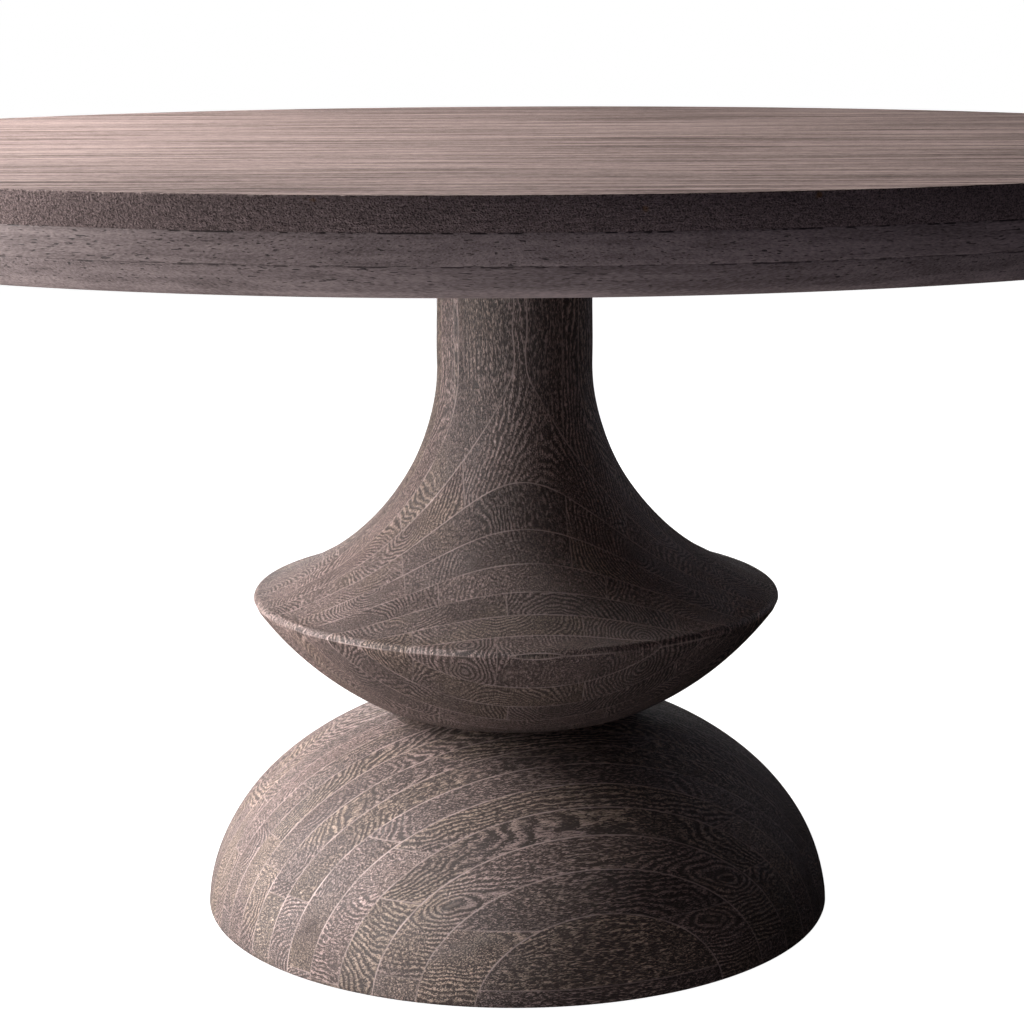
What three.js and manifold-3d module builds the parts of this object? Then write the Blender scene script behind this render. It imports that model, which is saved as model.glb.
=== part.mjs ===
// Round pedestal dining table in solid wood, about 60 inches across and 30 inches high.
//
// A boarded round top stands on a turned pedestal: a column that flares out into a sharp rim,
// a shallow bowl under the rim, and a domed base that the bowl sits on. Behind the wood are
// the parts that hold it together: a steel plate under the top, a long rod that pulls the
// pedestal together, two battens across the boards, and four screw levellers in the base.
//
// Units are millimetres. The floor is z = 0, +Z is up, the boards run along X, and the
// pedestal's axis is the Z axis.

import * as THREE from 'three';
import { mergeVertices } from 'three/addons/utils/BufferGeometryUtils.js';
import Module from 'manifold-3d';

const wasm = await Module();
wasm.setup();

// ---------------------------------------------------------------- driving dimensions

const TABLE_HEIGHT = 762;
const TOP_RADIUS = 762;
const CLEARANCE = 0.3;              // air between pieces that fit into each other
const OVERCUT = 1;                  // how far a cutting solid runs past the surface it cuts

// Top: glued boards, with a two-layer ring glued under their rim to thicken the edge.
const BOARD_COUNT = 12;
const BOARD_THICKNESS = 25;
const RING_LAYER_THICKNESS = 23.5;
const RING_LAYERS = 2;
const RING_SEGMENTS = 6;
const RING_INNER_RADIUS = 650;
const EDGE_CURVE_RADIUS = 111;      // the edge rolls inwards as it goes down
const EDGE_ROUND = 4;               // small round where the edge meets the underside

// Column with its flare, rim and bowl, all turned from one laminated block.
const COLUMN_RADIUS = 76;
const FLARE_TOP = 546;              // the straight column ends here
const FLARE_REACH = 266;            // semi-axes of the ellipse that the flare follows
const FLARE_DROP = 240;
const FLARE_END_RADIUS = 190;       // from here the flare runs straight to the rim
const RIM_LIP_START = [241, 320.8];
const RIM_NOSE = { r: 254, z: 314, radius: 6.1 };   // the round that ends the lip
const RIM_RIDGE = [257.3, 307.8];
const BOWL_CENTRE_Z = 493;
const BOWL_RADIUS = 317;
const BOWL_HEEL = { r: 91, z: 324, radius: 125 };
const HEEL_START = 150;             // where the bowl's sphere turns into its flatter heel

// Domed base.
const BASE_TOP = 200;
const BASE_BOTTOM = 2;              // the levellers hold the base just off the floor
const DOME_RADIUS = 312.5;
const DOME_RISE = 219.3;
const DOME_CENTRE_Z = -5.6;
const DOME_SHARP_EDGE = 1.5;
const RECESS_RADIUS = 70;           // a pocket under the base for the tie rod's nut
const RECESS_TOP = 62;

// Steel parts on the axis.
const PLATE_RADIUS = 210;
const PLATE_THICKNESS = 8;
const PLATE_CHAMFER = 1;
const BOSS_RADIUS = 20;
const BOSS_LENGTH = 50;
const ROD_RADIUS = 10;
const ROD_BOTTOM = 30;
const ROD_CHAMFER = 1.5;
const ROD_HOLE_RADIUS = 11;
const BOSS_HOLE = { radius: 22, endGap: 3 };
const WASHER = { radius: 60, thickness: 6 };
const ROD_NUT = { acrossFlats: 30, height: 16 };

// Screws.
const LAG_SCREWS = 6;
const LAG_SCREW_CIRCLE = 180;
const LAG_SCREW = { radius: 4, acrossFlats: 13, headHeight: 5.5, depth: 18, plateHole: 4.5 };
const BATTEN_SCREW_ROWS = [-444.5, -190.5, 190.5, 444.5];
const BATTEN_SCREW = { radius: 2.5, headRadius: 5.5, faceRadius: 3.3, headHeight: 3.5, depth: 17 };

// Battens under the boards.
const BATTEN_X = 330;
const BATTEN = { length: 1060, width: 70, thickness: 32, endTaper: 60, endThickness: 16 };
const BATTEN_SLOT = { length: 14, width: 6.4 };

// Dowels that stop the bowl turning on the base.
const DOWEL = { radius: 6, length: 60, offset: 60, chamfer: 1, endGap: 2 };

// Levellers.
const LEVELLER_CIRCLE = 255;
const LEVELLER_COUNT = 4;
const PAD = { radius: 17, height: 8, edge: 1.5, shoulder: 4.5, neckRadius: 8 };
const BALL = { z: 5.2, radius: 3.4, neckRadius: 2.1, play: 0.4 };
const COLLAR = { acrossFlats: 13, bottom: 8.4, top: 13.4 };
const STEM = { radius: 5, top: 54, chamfer: 1 };
const INSERT = { radius: 7.5, bottom: 14.4, top: 34 };
const LEVELLER_POCKET = { radius: 20, top: 14.4 };
const STEM_HOLE = { radius: 6, top: 60 };

// Smoothness of the faceted solids.
const TURNED_STEPS = 48;
const RIM_STEPS = 72;
const PLATE_STEPS = 24;
const HARDWARE_STEPS = 16;
const SMALL_STEPS = 12;

// Worked out from the above.
const BOARD_BOTTOM = TABLE_HEIGHT - BOARD_THICKNESS;
const PLATE_BOTTOM = BOARD_BOTTOM - PLATE_THICKNESS;
const BOARD_WIDTH = (2 * TOP_RADIUS) / BOARD_COUNT;
const TURN = 2 * Math.PI;
const DEGREE = Math.PI / 180;

// ---------------------------------------------------------------- materials

const MATERIALS = {
  topWood: { color: 0x8f7d76, roughness: 0.55, metalness: 0 },
  ringWood: { color: 0x5a4d4a, roughness: 0.6, metalness: 0 },
  pedestalWood: { color: 0x6b5b56, roughness: 0.6, metalness: 0 },
  plainWood: { color: 0xa88a68, roughness: 0.7, metalness: 0 },
  blackSteel: { color: 0x26272a, roughness: 0.5, metalness: 0.6 },
  zincSteel: { color: 0xb4b7ba, roughness: 0.35, metalness: 1 },
  nylon: { color: 0x1c1c1d, roughness: 0.6, metalness: 0 },
};

function material(name) {
  return new THREE.MeshStandardMaterial(MATERIALS[name]);
}

// ---------------------------------------------------------------- solids

// A closed manifold solid from a three.js geometry.
function solid(geometry) {
  const bare = geometry.index ? geometry.toNonIndexed() : geometry.clone();
  bare.deleteAttribute('normal');
  bare.deleteAttribute('uv');
  const merged = mergeVertices(bare, 1e-3);
  return new wasm.Manifold(new wasm.Mesh({
    numProp: 3,
    vertProperties: new Float32Array(merged.attributes.position.array),
    triVerts: new Uint32Array(merged.index.array),
  }));
}

function geometryOf(manifold) {
  const mesh = manifold.getMesh();
  const geometry = new THREE.BufferGeometry();
  geometry.setAttribute('position', new THREE.BufferAttribute(new Float32Array(mesh.vertProperties), 3));
  geometry.setIndex(new THREE.BufferAttribute(new Uint32Array(mesh.triVerts), 1));
  geometry.computeVertexNormals();
  return geometry;
}

// A solid turned about the Z axis. The profile is a list of [radius, height], and starts
// and ends on the axis or closes on itself.
function turned(profile, steps = TURNED_STEPS) {
  const points = profile.map(([r, z]) => new THREE.Vector2(r, z));
  return solid(new THREE.LatheGeometry(points, steps).rotateX(Math.PI / 2));
}

function ringProfile(profile) {
  return [...profile, profile[0]];
}

function cylinder(radius, bottom, top, steps = HARDWARE_STEPS) {
  const geometry = new THREE.CylinderGeometry(radius, radius, top - bottom, steps);
  return solid(geometry.rotateX(Math.PI / 2).translate(0, 0, (bottom + top) / 2));
}

function hexPrism(acrossFlats, bottom, top) {
  return cylinder(acrossFlats / Math.sqrt(3), bottom, top, 6);
}

function block(low, high) {
  const size = high.map((value, i) => value - low[i]);
  const centre = high.map((value, i) => (value + low[i]) / 2);
  return solid(new THREE.BoxGeometry(...size).translate(...centre));
}

// Points [radius, height] along a circle's arc, ends included.
function arc(circle, fromDegrees, toDegrees, steps) {
  return Array.from({ length: steps + 1 }, (_, i) => {
    const angle = (fromDegrees + ((toDegrees - fromDegrees) * i) / steps) * DEGREE;
    return [circle.r + circle.radius * Math.cos(angle), circle.z + circle.radius * Math.sin(angle)];
  });
}

// Places around the axis, the first one at firstAngle.
function aroundAxis(count, radius, firstAngle) {
  return Array.from({ length: count }, (_, i) => {
    const angle = firstAngle + (i * TURN) / count;
    return [radius * Math.cos(angle), radius * Math.sin(angle)];
  });
}

function movedTo(manifold, [x, y]) {
  return manifold.translate([x, y, 0]);
}

function cutAll(manifold, tools) {
  return tools.reduce((rest, tool) => rest.subtract(tool), manifold);
}

const table = new THREE.Group();

function addPiece(name, manifold, materialName) {
  const mesh = new THREE.Mesh(geometryOf(manifold), material(materialName));
  mesh.name = name;
  table.add(mesh);
}

function numbered(name, index) {
  return `${name}_${String(index + 1).padStart(2, '0')}`;
}

const LAG_SCREW_PLACES = aroundAxis(LAG_SCREWS, LAG_SCREW_CIRCLE, TURN / 12);
const LEVELLER_PLACES = aroundAxis(LEVELLER_COUNT, LEVELLER_CIRCLE, TURN / 8);
const DOWEL_PLACES = aroundAxis(2, DOWEL.offset, 0);
const BATTEN_SCREW_PLACES = [-BATTEN_X, BATTEN_X].flatMap(
  (x) => BATTEN_SCREW_ROWS.map((y) => [x, y]),
);

// ---------------------------------------------------------------- the top

// Radius of the edge's inward roll at a height.
function edgeRadius(z) {
  const drop = TABLE_HEIGHT - z;
  return TOP_RADIUS - EDGE_CURVE_RADIUS + Math.sqrt(EDGE_CURVE_RADIUS ** 2 - drop ** 2);
}

function topBoards() {
  const panel = turned([
    [0, BOARD_BOTTOM],
    [edgeRadius(BOARD_BOTTOM), BOARD_BOTTOM],
    [edgeRadius(TABLE_HEIGHT - BOARD_THICKNESS / 2), TABLE_HEIGHT - BOARD_THICKNESS / 2],
    [TOP_RADIUS, TABLE_HEIGHT],
    [0, TABLE_HEIGHT],
  ], RIM_STEPS);
  const lagTop = BOARD_BOTTOM + LAG_SCREW.depth + CLEARANCE;
  const battenTop = BOARD_BOTTOM + BATTEN_SCREW.depth + CLEARANCE;
  const holeBottom = BOARD_BOTTOM - OVERCUT;
  const lagHole = cylinder(LAG_SCREW.radius + CLEARANCE, holeBottom, lagTop, SMALL_STEPS);
  const battenHole = cylinder(BATTEN_SCREW.radius + CLEARANCE, holeBottom, battenTop, SMALL_STEPS);
  const drilled = cutAll(panel, [
    ...LAG_SCREW_PLACES.map((place) => movedTo(lagHole, place)),
    ...BATTEN_SCREW_PLACES.map((place) => movedTo(battenHole, place)),
  ]);
  for (let i = 0; i < BOARD_COUNT; i += 1) {
    const front = -TOP_RADIUS + i * BOARD_WIDTH;
    const strip = block(
      [-TOP_RADIUS - OVERCUT, front, BOARD_BOTTOM - OVERCUT],
      [TOP_RADIUS + OVERCUT, front + BOARD_WIDTH, TABLE_HEIGHT + OVERCUT],
    );
    addPiece(numbered('top_board', i), drilled.intersect(strip), 'topWood');
  }
}

// One layer of the edge ring, as a whole ring.
function ringLayer(bottom, top, isLowest) {
  const middle = (bottom + top) / 2;
  const outer = [
    [edgeRadius(middle), middle],
    [edgeRadius(top), top],
  ];
  const shoulder = bottom + EDGE_ROUND / 2;
  const foot = isLowest
    ? [[edgeRadius(bottom) - EDGE_ROUND, bottom], [edgeRadius(shoulder), shoulder]]
    : [[edgeRadius(bottom), bottom]];
  return turned(ringProfile([
    [RING_INNER_RADIUS, top],
    [RING_INNER_RADIUS, bottom],
    ...foot,
    ...outer,
  ]), RIM_STEPS);
}

// A wedge with its point on the axis, which takes one segment out of a ring.
function ringWedge(index, layer, bottom, top) {
  const reach = 2 * TOP_RADIUS;
  const span = TURN / RING_SEGMENTS;
  const middle = (index + layer / 2) * span;
  const half = span / 2;
  const shape = new THREE.Shape([
    new THREE.Vector2(0, 0),
    new THREE.Vector2(reach * Math.cos(half), -reach * Math.sin(half)),
    new THREE.Vector2(reach * Math.cos(half), reach * Math.sin(half)),
  ]);
  const gapShift = CLEARANCE / 2 / Math.sin(half);
  const depth = top - bottom + 2 * OVERCUT;
  const geometry = new THREE.ExtrudeGeometry(shape, { depth, bevelEnabled: false })
    .translate(gapShift, 0, bottom - OVERCUT)
    .rotateZ(middle);
  return solid(geometry);
}

function edgeRing() {
  for (let layer = 0; layer < RING_LAYERS; layer += 1) {
    const top = BOARD_BOTTOM - layer * RING_LAYER_THICKNESS;
    const bottom = top - RING_LAYER_THICKNESS;
    const isLowest = layer === RING_LAYERS - 1;
    const whole = ringLayer(bottom, top, isLowest);
    const name = isLowest ? 'lower_ring_segment' : 'upper_ring_segment';
    for (let i = 0; i < RING_SEGMENTS; i += 1) {
      addPiece(numbered(name, i), whole.intersect(ringWedge(i, layer, bottom, top)), 'ringWood');
    }
  }
}

// A batten with thinned ends, and slots that let the boards swell and shrink.
function batten(x) {
  const half = BATTEN.length / 2;
  const bottom = BOARD_BOTTOM - BATTEN.thickness;
  const outline = new THREE.Shape([
    new THREE.Vector2(-half, BOARD_BOTTOM),
    new THREE.Vector2(-half, BOARD_BOTTOM - BATTEN.endThickness),
    new THREE.Vector2(-half + BATTEN.endTaper, bottom),
    new THREE.Vector2(half - BATTEN.endTaper, bottom),
    new THREE.Vector2(half, BOARD_BOTTOM - BATTEN.endThickness),
    new THREE.Vector2(half, BOARD_BOTTOM),
  ]);
  const body = solid(new THREE.ExtrudeGeometry(outline, { depth: BATTEN.width, bevelEnabled: false })
    .rotateX(Math.PI / 2)
    .rotateZ(Math.PI / 2)
    .translate(x - BATTEN.width / 2, 0, 0));
  const slots = BATTEN_SCREW_ROWS.map((y) => block(
    [x - BATTEN_SLOT.width / 2, y - BATTEN_SLOT.length / 2, bottom - OVERCUT],
    [x + BATTEN_SLOT.width / 2, y + BATTEN_SLOT.length / 2, BOARD_BOTTOM + OVERCUT],
  ));
  return cutAll(body, slots);
}

function battenScrew() {
  const seat = BOARD_BOTTOM - BATTEN.thickness;
  const headBottom = seat - BATTEN_SCREW.headHeight;
  return turned([
    [0, headBottom],
    [BATTEN_SCREW.faceRadius, headBottom],
    [BATTEN_SCREW.headRadius, seat - BATTEN_SCREW.headHeight / 2],
    [BATTEN_SCREW.headRadius, seat],
    [BATTEN_SCREW.radius, seat],
    [BATTEN_SCREW.radius, BOARD_BOTTOM + BATTEN_SCREW.depth - BATTEN_SCREW.radius],
    [0, BOARD_BOTTOM + BATTEN_SCREW.depth],
  ], SMALL_STEPS);
}

function battens() {
  addPiece('batten_left', batten(-BATTEN_X), 'plainWood');
  addPiece('batten_right', batten(BATTEN_X), 'plainWood');
  BATTEN_SCREW_PLACES.forEach((place, i) => {
    addPiece(numbered('batten_screw', i), movedTo(battenScrew(), place), 'zincSteel');
  });
}

// ---------------------------------------------------------------- steel parts on the axis

// The plate under the boards, with a threaded boss welded to it that takes the rod.
function mountingPlate() {
  const bossBottom = PLATE_BOTTOM - BOSS_LENGTH;
  const bore = ROD_RADIUS + CLEARANCE;
  const plate = turned([
    [0, PLATE_BOTTOM + PLATE_THICKNESS / 4],
    [bore, PLATE_BOTTOM + PLATE_THICKNESS / 4],
    [bore, bossBottom],
    [BOSS_RADIUS, bossBottom],
    [BOSS_RADIUS, PLATE_BOTTOM],
    [PLATE_RADIUS - PLATE_CHAMFER, PLATE_BOTTOM],
    [PLATE_RADIUS, PLATE_BOTTOM + PLATE_CHAMFER],
    [PLATE_RADIUS, BOARD_BOTTOM],
    [0, BOARD_BOTTOM],
  ], PLATE_STEPS);
  const holeTop = BOARD_BOTTOM + OVERCUT;
  const hole = cylinder(LAG_SCREW.plateHole, PLATE_BOTTOM - OVERCUT, holeTop, SMALL_STEPS);
  return cutAll(plate, LAG_SCREW_PLACES.map((place) => movedTo(hole, place)));
}

function lagScrew() {
  const head = hexPrism(LAG_SCREW.acrossFlats, PLATE_BOTTOM - LAG_SCREW.headHeight, PLATE_BOTTOM);
  const shankTop = BOARD_BOTTOM + LAG_SCREW.depth;
  const shank = turned([
    [0, PLATE_BOTTOM - LAG_SCREW.headHeight / 2],
    [LAG_SCREW.radius, PLATE_BOTTOM - LAG_SCREW.headHeight / 2],
    [LAG_SCREW.radius, shankTop - LAG_SCREW.radius],
    [0, shankTop],
  ], SMALL_STEPS);
  return head.add(shank);
}

function tieRod() {
  const top = BOARD_BOTTOM - PLATE_THICKNESS;
  return turned([
    [0, ROD_BOTTOM],
    [ROD_RADIUS - ROD_CHAMFER, ROD_BOTTOM],
    [ROD_RADIUS, ROD_BOTTOM + ROD_CHAMFER],
    [ROD_RADIUS, top - ROD_CHAMFER],
    [ROD_RADIUS - ROD_CHAMFER, top],
    [0, top],
  ], HARDWARE_STEPS);
}

function rodWasher() {
  return turned(ringProfile([
    [ROD_RADIUS + CLEARANCE, RECESS_TOP - WASHER.thickness],
    [WASHER.radius, RECESS_TOP - WASHER.thickness],
    [WASHER.radius, RECESS_TOP],
    [ROD_RADIUS + CLEARANCE, RECESS_TOP],
  ]), PLATE_STEPS);
}

function rodNut() {
  const top = RECESS_TOP - WASHER.thickness;
  const boreBottom = top - ROD_NUT.height - OVERCUT;
  const bore = cylinder(ROD_RADIUS + CLEARANCE, boreBottom, top + OVERCUT);
  return hexPrism(ROD_NUT.acrossFlats, top - ROD_NUT.height, top).subtract(bore);
}

function tieHardware() {
  addPiece('mounting_plate', mountingPlate(), 'blackSteel');
  LAG_SCREW_PLACES.forEach((place, i) => {
    addPiece(numbered('plate_lag_screw', i), movedTo(lagScrew(), place), 'zincSteel');
  });
  addPiece('tie_rod', tieRod(), 'zincSteel');
  addPiece('rod_washer', rodWasher(), 'zincSteel');
  addPiece('rod_nut', rodNut(), 'zincSteel');
}

// ---------------------------------------------------------------- the turned pedestal

// Height of the flare at a radius: a quarter of an ellipse, tangent to the column.
function flareHeight(radius) {
  const across = (COLUMN_RADIUS + FLARE_REACH - radius) / FLARE_REACH;
  return FLARE_TOP - FLARE_DROP * Math.sqrt(1 - across ** 2);
}

// The flare from the rim end up to the column, closer together where it bends most.
function flareCurve(steps) {
  return Array.from({ length: steps + 1 }, (_, i) => {
    const share = 1 - i / steps;
    const radius = COLUMN_RADIUS + (FLARE_END_RADIUS - COLUMN_RADIUS) * share ** 2;
    return [radius, flareHeight(radius)];
  });
}

function turnedColumn() {
  const bossHoleBottom = PLATE_BOTTOM - BOSS_LENGTH - BOSS_HOLE.endGap;
  const bowl = { r: 0, z: BOWL_CENTRE_Z, radius: BOWL_RADIUS };
  const ridgeAngle = -Math.acos(RIM_RIDGE[0] / BOWL_RADIUS) / DEGREE;
  const heelAngle = -Math.acos(HEEL_START / BOWL_RADIUS) / DEGREE;
  const heelEnd = Math.asin((BASE_TOP - BOWL_HEEL.z) / BOWL_HEEL.radius) / DEGREE;
  const body = turned(ringProfile([
    [ROD_HOLE_RADIUS, BASE_TOP],
    ...arc(BOWL_HEEL, heelEnd, heelAngle, 3),
    ...arc(bowl, heelAngle, ridgeAngle, 6).slice(1, -1),
    RIM_RIDGE,
    ...arc(RIM_NOSE, 0, 90, 3),
    RIM_LIP_START,
    ...flareCurve(9),
    [COLUMN_RADIUS, PLATE_BOTTOM],
    [BOSS_HOLE.radius, PLATE_BOTTOM],
    [BOSS_HOLE.radius, bossHoleBottom],
    [ROD_HOLE_RADIUS, bossHoleBottom],
  ]));
  return cutAll(body, dowelHoles());
}

function dowelHoles() {
  const reach = DOWEL.length / 2 + DOWEL.endGap;
  const hole = cylinder(DOWEL.radius + CLEARANCE, BASE_TOP - reach, BASE_TOP + reach);
  return DOWEL_PLACES.map((place) => movedTo(hole, place));
}

function dowel() {
  const half = DOWEL.length / 2;
  return turned([
    [0, BASE_TOP - half],
    [DOWEL.radius - DOWEL.chamfer, BASE_TOP - half],
    [DOWEL.radius, BASE_TOP - half + DOWEL.chamfer],
    [DOWEL.radius, BASE_TOP + half - DOWEL.chamfer],
    [DOWEL.radius - DOWEL.chamfer, BASE_TOP + half],
    [0, BASE_TOP + half],
  ], HARDWARE_STEPS);
}

// Outline of the dome from its sharp bottom edge up to the flat that carries the bowl.
function domeCurve(steps) {
  const low = (BASE_BOTTOM + DOME_SHARP_EDGE - DOME_CENTRE_Z) / DOME_RISE;
  const high = (BASE_TOP - DOME_CENTRE_Z) / DOME_RISE;
  return Array.from({ length: steps + 1 }, (_, i) => {
    const angle = Math.asin(low) + ((Math.asin(high) - Math.asin(low)) * i) / steps;
    return [DOME_RADIUS * Math.cos(angle), DOME_CENTRE_Z + DOME_RISE * Math.sin(angle)];
  });
}

function domeBase() {
  const curve = domeCurve(10);
  const body = turned(ringProfile([
    [ROD_HOLE_RADIUS, RECESS_TOP],
    [RECESS_RADIUS, RECESS_TOP],
    [RECESS_RADIUS, BASE_BOTTOM],
    [curve[0][0] - DOME_SHARP_EDGE, BASE_BOTTOM],
    ...curve,
    [ROD_HOLE_RADIUS, BASE_TOP],
  ]));
  const pocket = cylinder(LEVELLER_POCKET.radius, BASE_BOTTOM - OVERCUT, LEVELLER_POCKET.top);
  const insertHole = cylinder(INSERT.radius + CLEARANCE, BASE_BOTTOM, INSERT.top + CLEARANCE);
  const stemHole = cylinder(STEM_HOLE.radius, BASE_BOTTOM, STEM_HOLE.top, SMALL_STEPS);
  const drilling = pocket.add(insertHole).add(stemHole);
  return cutAll(body, [
    ...dowelHoles(),
    ...LEVELLER_PLACES.map((place) => movedTo(drilling, place)),
  ]);
}

function pedestal() {
  addPiece('turned_column', turnedColumn(), 'pedestalWood');
  addPiece('dome_base', domeBase(), 'pedestalWood');
  DOWEL_PLACES.forEach((place, i) => {
    addPiece(numbered('bowl_dowel', i), movedTo(dowel(), place), 'plainWood');
  });
}

// ---------------------------------------------------------------- levellers

// The nylon pad, with a socket that snaps over the stem's ball.
function levellerPad() {
  const socket = BALL.radius + BALL.play;
  const mouth = Math.asin((PAD.height - BALL.z) / socket) / DEGREE;
  const inside = arc({ r: 0, z: BALL.z, radius: socket }, mouth, -90, 4);
  return turned([
    [0, 0],
    [PAD.radius - PAD.edge, 0],
    [PAD.radius, PAD.edge],
    [PAD.radius, PAD.shoulder],
    [PAD.neckRadius, PAD.height],
    ...inside.slice(0, -1),
    [0, BALL.z - socket],
  ], HARDWARE_STEPS);
}

// The threaded stem, with a ball at its foot and a hex collar for a spanner.
function levellerStem() {
  const neckAngle = Math.acos(BALL.neckRadius / BALL.radius) / DEGREE;
  const ball = arc({ r: 0, z: BALL.z, radius: BALL.radius }, -90, neckAngle, 4);
  const turnedPart = turned([
    [0, BALL.z - BALL.radius],
    ...ball.slice(1),
    [BALL.neckRadius, COLLAR.bottom + 1],
    [STEM.radius, COLLAR.bottom + 1],
    [STEM.radius, STEM.top - STEM.chamfer],
    [STEM.radius - STEM.chamfer, STEM.top],
    [0, STEM.top],
  ], HARDWARE_STEPS);
  return turnedPart.add(hexPrism(COLLAR.acrossFlats, COLLAR.bottom, COLLAR.top));
}

function levellerInsert() {
  return turned(ringProfile([
    [STEM.radius + CLEARANCE, INSERT.bottom],
    [INSERT.radius, INSERT.bottom],
    [INSERT.radius, INSERT.top],
    [STEM.radius + CLEARANCE, INSERT.top],
  ]), HARDWARE_STEPS);
}

function levellers() {
  LEVELLER_PLACES.forEach((place, i) => {
    addPiece(`leveller_insert_${i + 1}`, movedTo(levellerInsert(), place), 'zincSteel');
    addPiece(`leveller_pad_${i + 1}`, movedTo(levellerPad(), place), 'nylon');
    addPiece(`leveller_stem_${i + 1}`, movedTo(levellerStem(), place), 'zincSteel');
  });
}

topBoards();
edgeRing();
battens();
tieHardware();
pedestal();
levellers();

export default table;
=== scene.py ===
"""Looks for the round pedestal table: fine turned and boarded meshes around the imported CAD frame,
with procedural wood, steel and nylon. Lengths are in metres, in the frame's own axes."""

import math

import bmesh
import bpy
from mathutils import Matrix, Vector, noise


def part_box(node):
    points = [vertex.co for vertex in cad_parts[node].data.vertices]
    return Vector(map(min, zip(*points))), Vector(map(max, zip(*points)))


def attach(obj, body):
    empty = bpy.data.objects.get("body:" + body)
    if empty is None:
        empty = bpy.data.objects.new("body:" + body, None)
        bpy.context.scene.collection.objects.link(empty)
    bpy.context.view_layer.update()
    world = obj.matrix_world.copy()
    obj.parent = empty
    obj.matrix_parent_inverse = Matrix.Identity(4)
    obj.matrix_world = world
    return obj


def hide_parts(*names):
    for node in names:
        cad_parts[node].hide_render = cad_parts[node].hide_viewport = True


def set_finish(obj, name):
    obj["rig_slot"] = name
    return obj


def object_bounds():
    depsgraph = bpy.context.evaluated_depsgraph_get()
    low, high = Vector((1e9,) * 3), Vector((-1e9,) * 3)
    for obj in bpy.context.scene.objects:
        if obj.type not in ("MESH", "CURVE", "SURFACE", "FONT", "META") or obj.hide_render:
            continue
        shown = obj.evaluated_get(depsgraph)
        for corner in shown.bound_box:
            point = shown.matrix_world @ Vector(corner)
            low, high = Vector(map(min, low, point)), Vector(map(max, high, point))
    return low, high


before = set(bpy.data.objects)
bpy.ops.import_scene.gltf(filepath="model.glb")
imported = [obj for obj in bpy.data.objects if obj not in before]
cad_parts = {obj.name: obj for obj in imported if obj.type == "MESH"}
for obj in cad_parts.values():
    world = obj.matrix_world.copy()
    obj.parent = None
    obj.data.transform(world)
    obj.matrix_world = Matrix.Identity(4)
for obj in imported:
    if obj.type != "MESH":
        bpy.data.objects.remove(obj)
CAD_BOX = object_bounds()

MM = 0.001
PER_MM = 1 / MM  # the material graphs work in millimetres
TURN = 2 * math.pi


# ---------------- sizes, from the frame


def nodes(prefix):
    """The names of the nodes that start like this, in order."""
    return sorted(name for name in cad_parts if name.startswith(prefix))


TABLE_HEIGHT = CAD_BOX[1].z
TOP_RADIUS = CAD_BOX[1].x
BOARDS = nodes("top_board")
UPPER_RING = nodes("upper_ring")
LOWER_RING = nodes("lower_ring")
BOARD_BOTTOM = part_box(BOARDS[0])[0].z
SEGMENTS = len(UPPER_RING)
LAYER_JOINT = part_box(UPPER_RING[0])[0].z
RING_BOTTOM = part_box(LOWER_RING[0])[0].z
COLUMN_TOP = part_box("turned_column")[1].z
BASE_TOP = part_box("turned_column")[0].z
BASE_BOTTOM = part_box("dome_base")[0].z
PLATE_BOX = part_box("mounting_plate")
PLATE_RADIUS = PLATE_BOX[1].x
NUT_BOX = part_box("rod_nut")
WASHER_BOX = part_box("rod_washer")
ROD_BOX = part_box("tie_rod")
PLATE_BOTTOM = ROD_BOX[1].z
LAG_SCREWS = nodes("plate_lag")
BATTEN_SCREWS = nodes("batten_screw")
DOWELS = nodes("bowl_dowel")


def middle_of(name):
    """Where a node's upright axis stands."""
    low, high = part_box(name)
    return ((low.x + high.x) / 2, (low.y + high.y) / 2)


DOWEL_PLACES = [middle_of(name) for name in DOWELS]
LEVELLER_PLACES = [middle_of(name) for name in nodes("leveller_stem")]

# Shapes that the boxes don't say, as on the CAD part. What has three numbers is a circle of the
# turned section: its centre's radius and height, and its own radius.
EDGE_CURVE_RADIUS = 111 * MM
RING_INNER_RADIUS = 650 * MM
COLUMN_RADIUS = 76 * MM
FLARE_TOP = 546 * MM
FLARE_REACH = 266 * MM
FLARE_DROP = 240 * MM
FLARE_END_RADIUS = 190 * MM
RIM_LIP_START = (241 * MM, 320.8 * MM)
RIM_NOSE = (254 * MM, 314 * MM, 6.1 * MM)
RIM_RIDGE = (257.3 * MM, 307.8 * MM)
BOWL = (0, 493 * MM, 317 * MM)
BOWL_HEEL = (91 * MM, 324 * MM, 125 * MM)
HEEL_START = 150 * MM
DOME_RADIUS = 312.5 * MM
DOME_RISE = 219.3 * MM
DOME_CENTRE = -5.6 * MM
RECESS_RADIUS = 70 * MM
RECESS_TOP = 62 * MM
ROD_HOLE_RADIUS = 11 * MM
ROD_RADIUS = 10 * MM
ROD_CLEARANCE = 0.3 * MM
BOSS_HOLE_RADIUS = 22 * MM
BOSS_HOLE_BOTTOM = COLUMN_TOP - 53 * MM
POCKET_RADIUS = 20 * MM
POCKET_TOP = 14.4 * MM
BALL = (0, 5.2 * MM, 3.4 * MM)


# ---------------- meshes


def add_object(name, data):
    """Puts an object into the scene."""
    item = bpy.data.objects.new(name, data)
    bpy.context.scene.collection.objects.link(item)
    return item


def shade(mesh, sharp_angle=32):
    """Smooth shading, with creases where faces meet at more than this angle in degrees."""
    mesh.shade_smooth()
    mesh.set_sharp_from_angle(angle=math.radians(sharp_angle))


def make_piece(name, vertices, faces, body="root", sharp_angle=32):
    """A smooth-shaded mesh object that rides on a CAD body."""
    mesh = bpy.data.meshes.new(name)
    mesh.from_pydata([tuple(v) for v in vertices], [], faces)
    mesh.validate()
    shade(mesh, sharp_angle)
    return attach(add_object(name, mesh), body)


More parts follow.
